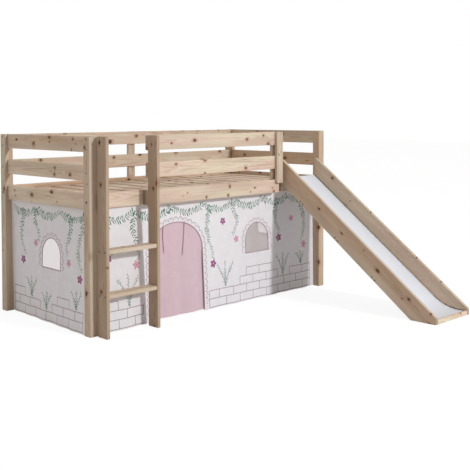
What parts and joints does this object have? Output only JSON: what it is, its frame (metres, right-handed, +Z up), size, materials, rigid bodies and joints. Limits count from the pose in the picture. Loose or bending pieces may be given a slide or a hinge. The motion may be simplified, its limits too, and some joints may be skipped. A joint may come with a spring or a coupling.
{
  "type": "loft bed with slide",
  "caption": "Half-height pine loft bed with guard rails, slatted base, straight ladder, slide with raised sides and a curtained play space whose cloth door swings inward.",
  "frame": {"origin": "on the floor, under the centre of the whole outline, bed and slide together", "axes": "+X along the bed from the ladder end to the slide end, +Y from the slide's foot to the rear side, +Z up"},
  "size_m": [2.1, 2.18, 1.14],
  "materials": {
    "pine": "planed, unvarnished",
    "white_laminate": "smooth, satin gloss",
    "white_canvas": "printed cotton canvas",
    "pink_canvas": "plain cotton",
    "pink_ribbon": "woven ribbon",
    "voile": "sheer"
  },
  "bodies": {
    "bed": {"post_left_front": "pine", "post_left_rear": "pine", "post_right_front": "pine", "post_right_rear": "pine", "left_board_top": "pine", "left_board_middle": "pine", "left_board_lower": "pine", "right_board_top": "pine", "right_board_middle": "pine", "right_board_lower": "pine", "rear_board_top": "pine", "rear_board_middle": "pine", "rear_board_lower": "pine", "rear_upright": "pine", "front_side_rail": "pine", "guard_board_top": "pine", "guard_board_middle": "pine", "guard_board_lower": "pine", "guard_upright": "pine", "slide_post": "pine", "ladder_stile_left": "pine", "ladder_stile_right": "pine", "ladder_tread_1": "pine", "ladder_tread_2": "pine", "ladder_block_left": "pine", "ladder_block_right": "pine", "slat_ledge_front": "pine", "slat_ledge_rear": "pine", "slat_01": "pine", "slat_02": "pine", "slat_03": "pine", "slat_04": "pine", "slat_05": "pine", "slat_06": "pine", "slat_07": "pine", "slat_08": "pine", "slat_09": "pine", "slat_10": "pine", "slat_11": "pine", "slat_12": "pine", "slat_13": "pine", "slat_14": "pine", "slide_rail_left": "pine", "slide_rail_right": "pine", "slide_head_board": "pine", "slide_foot_board": "pine", "slide_batten_1": "pine", "slide_batten_2": "pine", "slide_batten_3": "pine", "slide_sheet": "white_laminate", "front_curtain": "white_canvas", "left_curtain": "white_canvas", "right_curtain": "white_canvas", "door_tie_left": "pink_ribbon", "door_tie_right": "pink_ribbon", "front_window_pane": "voile", "left_window_pane": "voile", "right_window_pane": "voile"},
    "door": {"door_flap": "pink_canvas"}
  },
  "joints": [
    {"name": "door_flap_swing", "type": "hinge", "parent": "bed", "child": "door", "pos_m": [-0.356, 0.17863, 0.604], "axis": [1, 0, 0], "range_deg": [0, 85]}
  ]
}
